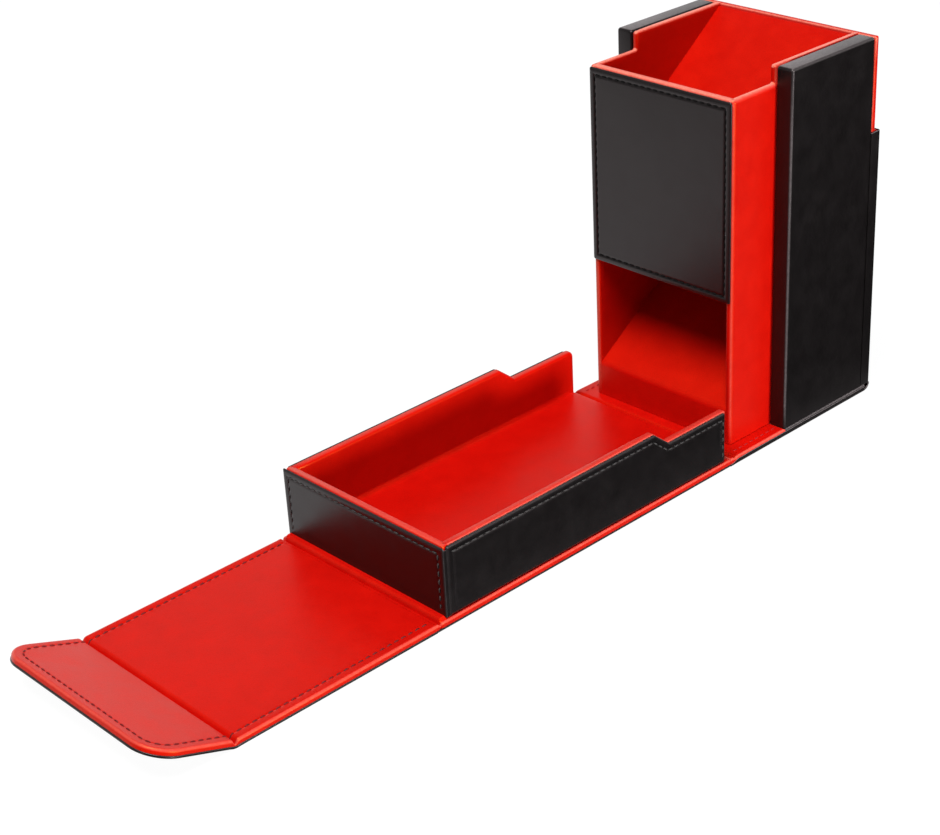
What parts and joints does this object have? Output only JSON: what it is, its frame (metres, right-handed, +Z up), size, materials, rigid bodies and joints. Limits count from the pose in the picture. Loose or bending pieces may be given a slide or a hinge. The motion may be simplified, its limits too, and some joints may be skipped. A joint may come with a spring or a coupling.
{
  "type": "dice tower",
  "caption": "Folding dice tower: an open-topped tower with inner ramps, a hinged notched tray, a cover panel and a closing lip, made of wrapped board.",
  "frame": {"origin": "on the table below the middle of the opened object's bounding box", "axes": "+Z up, +Y from the lip and tray towards the tower and its back, +X to the right of someone who looks along +Y at the tower's front"},
  "size_m": [0.092, 0.3854, 0.1604],
  "materials": {
    "red_leatherette": "semi-gloss grained",
    "black_leatherette": "semi-gloss grained",
    "greyboard": "matt",
    "steel_plate": "plain",
    "magnet": "nickel plated"
  },
  "bodies": {
    "tower": {"base_lining": "red_leatherette", "back_panel_lining": "red_leatherette", "left_wall_lining": "red_leatherette", "right_wall_lining": "red_leatherette", "back_wall_lining": "red_leatherette", "front_wall_lining": "red_leatherette", "sill_lining": "red_leatherette", "upper_ramp_lining": "red_leatherette", "middle_ramp_lining": "red_leatherette", "exit_ramp_lining": "red_leatherette", "tray_hinge_lining": "red_leatherette", "base_skin": "black_leatherette", "back_corner_skin": "black_leatherette", "back_panel_skin": "black_leatherette", "front_panel_skin": "black_leatherette", "left_side_panel_skin": "black_leatherette", "right_side_panel_skin": "black_leatherette", "tray_hinge_skin": "black_leatherette", "base_board": "greyboard", "back_panel_board": "greyboard", "left_wall_board": "greyboard", "right_wall_board": "greyboard", "back_wall_board": "greyboard", "front_wall_board": "greyboard", "sill_board": "greyboard", "upper_ramp_board": "greyboard", "middle_ramp_board": "greyboard", "exit_ramp_board": "greyboard", "left_side_panel_board": "greyboard", "right_side_panel_board": "greyboard", "left_catch_plate": "steel_plate", "right_catch_plate": "steel_plate"},
    "tray": {"tray_base_lining": "red_leatherette", "tray_floor_lining": "red_leatherette", "tray_left_lining": "red_leatherette", "tray_right_lining": "red_leatherette", "tray_front_lining": "red_leatherette", "tray_base_skin": "black_leatherette", "tray_left_skin": "black_leatherette", "tray_right_skin": "black_leatherette", "tray_front_skin": "black_leatherette", "tray_base_board": "greyboard", "tray_floor_board": "greyboard", "tray_left_board": "greyboard", "tray_right_board": "greyboard", "tray_front_board": "greyboard", "cover_hinge_skin": "black_leatherette", "cover_hinge_lining": "red_leatherette"},
    "cover": {"cover_skin": "black_leatherette", "cover_board": "greyboard", "cover_lining": "red_leatherette", "lip_hinge_skin": "black_leatherette", "lip_hinge_lining": "red_leatherette"},
    "lip": {"lip_skin": "black_leatherette", "lip_board": "greyboard", "lip_lining": "red_leatherette", "left_lip_magnet": "magnet", "right_lip_magnet": "magnet"}
  },
  "joints": [
    {"name": "tray_fold", "type": "hinge", "parent": "tower", "child": "tray", "pos_m": [0, 0.10074, 0.0012], "axis": [-1, 0, 0], "range_deg": [0, 90]},
    {"name": "cover_fold", "type": "hinge", "parent": "tray", "child": "cover", "pos_m": [0, -0.06426, 0.0012], "axis": [-1, 0, 0], "range_deg": [0, 90]},
    {"name": "lip_fold", "type": "hinge", "parent": "cover", "child": "lip", "pos_m": [0, -0.15926, 0.0012], "axis": [-1, 0, 0], "range_deg": [-21, 69]}
  ]
}
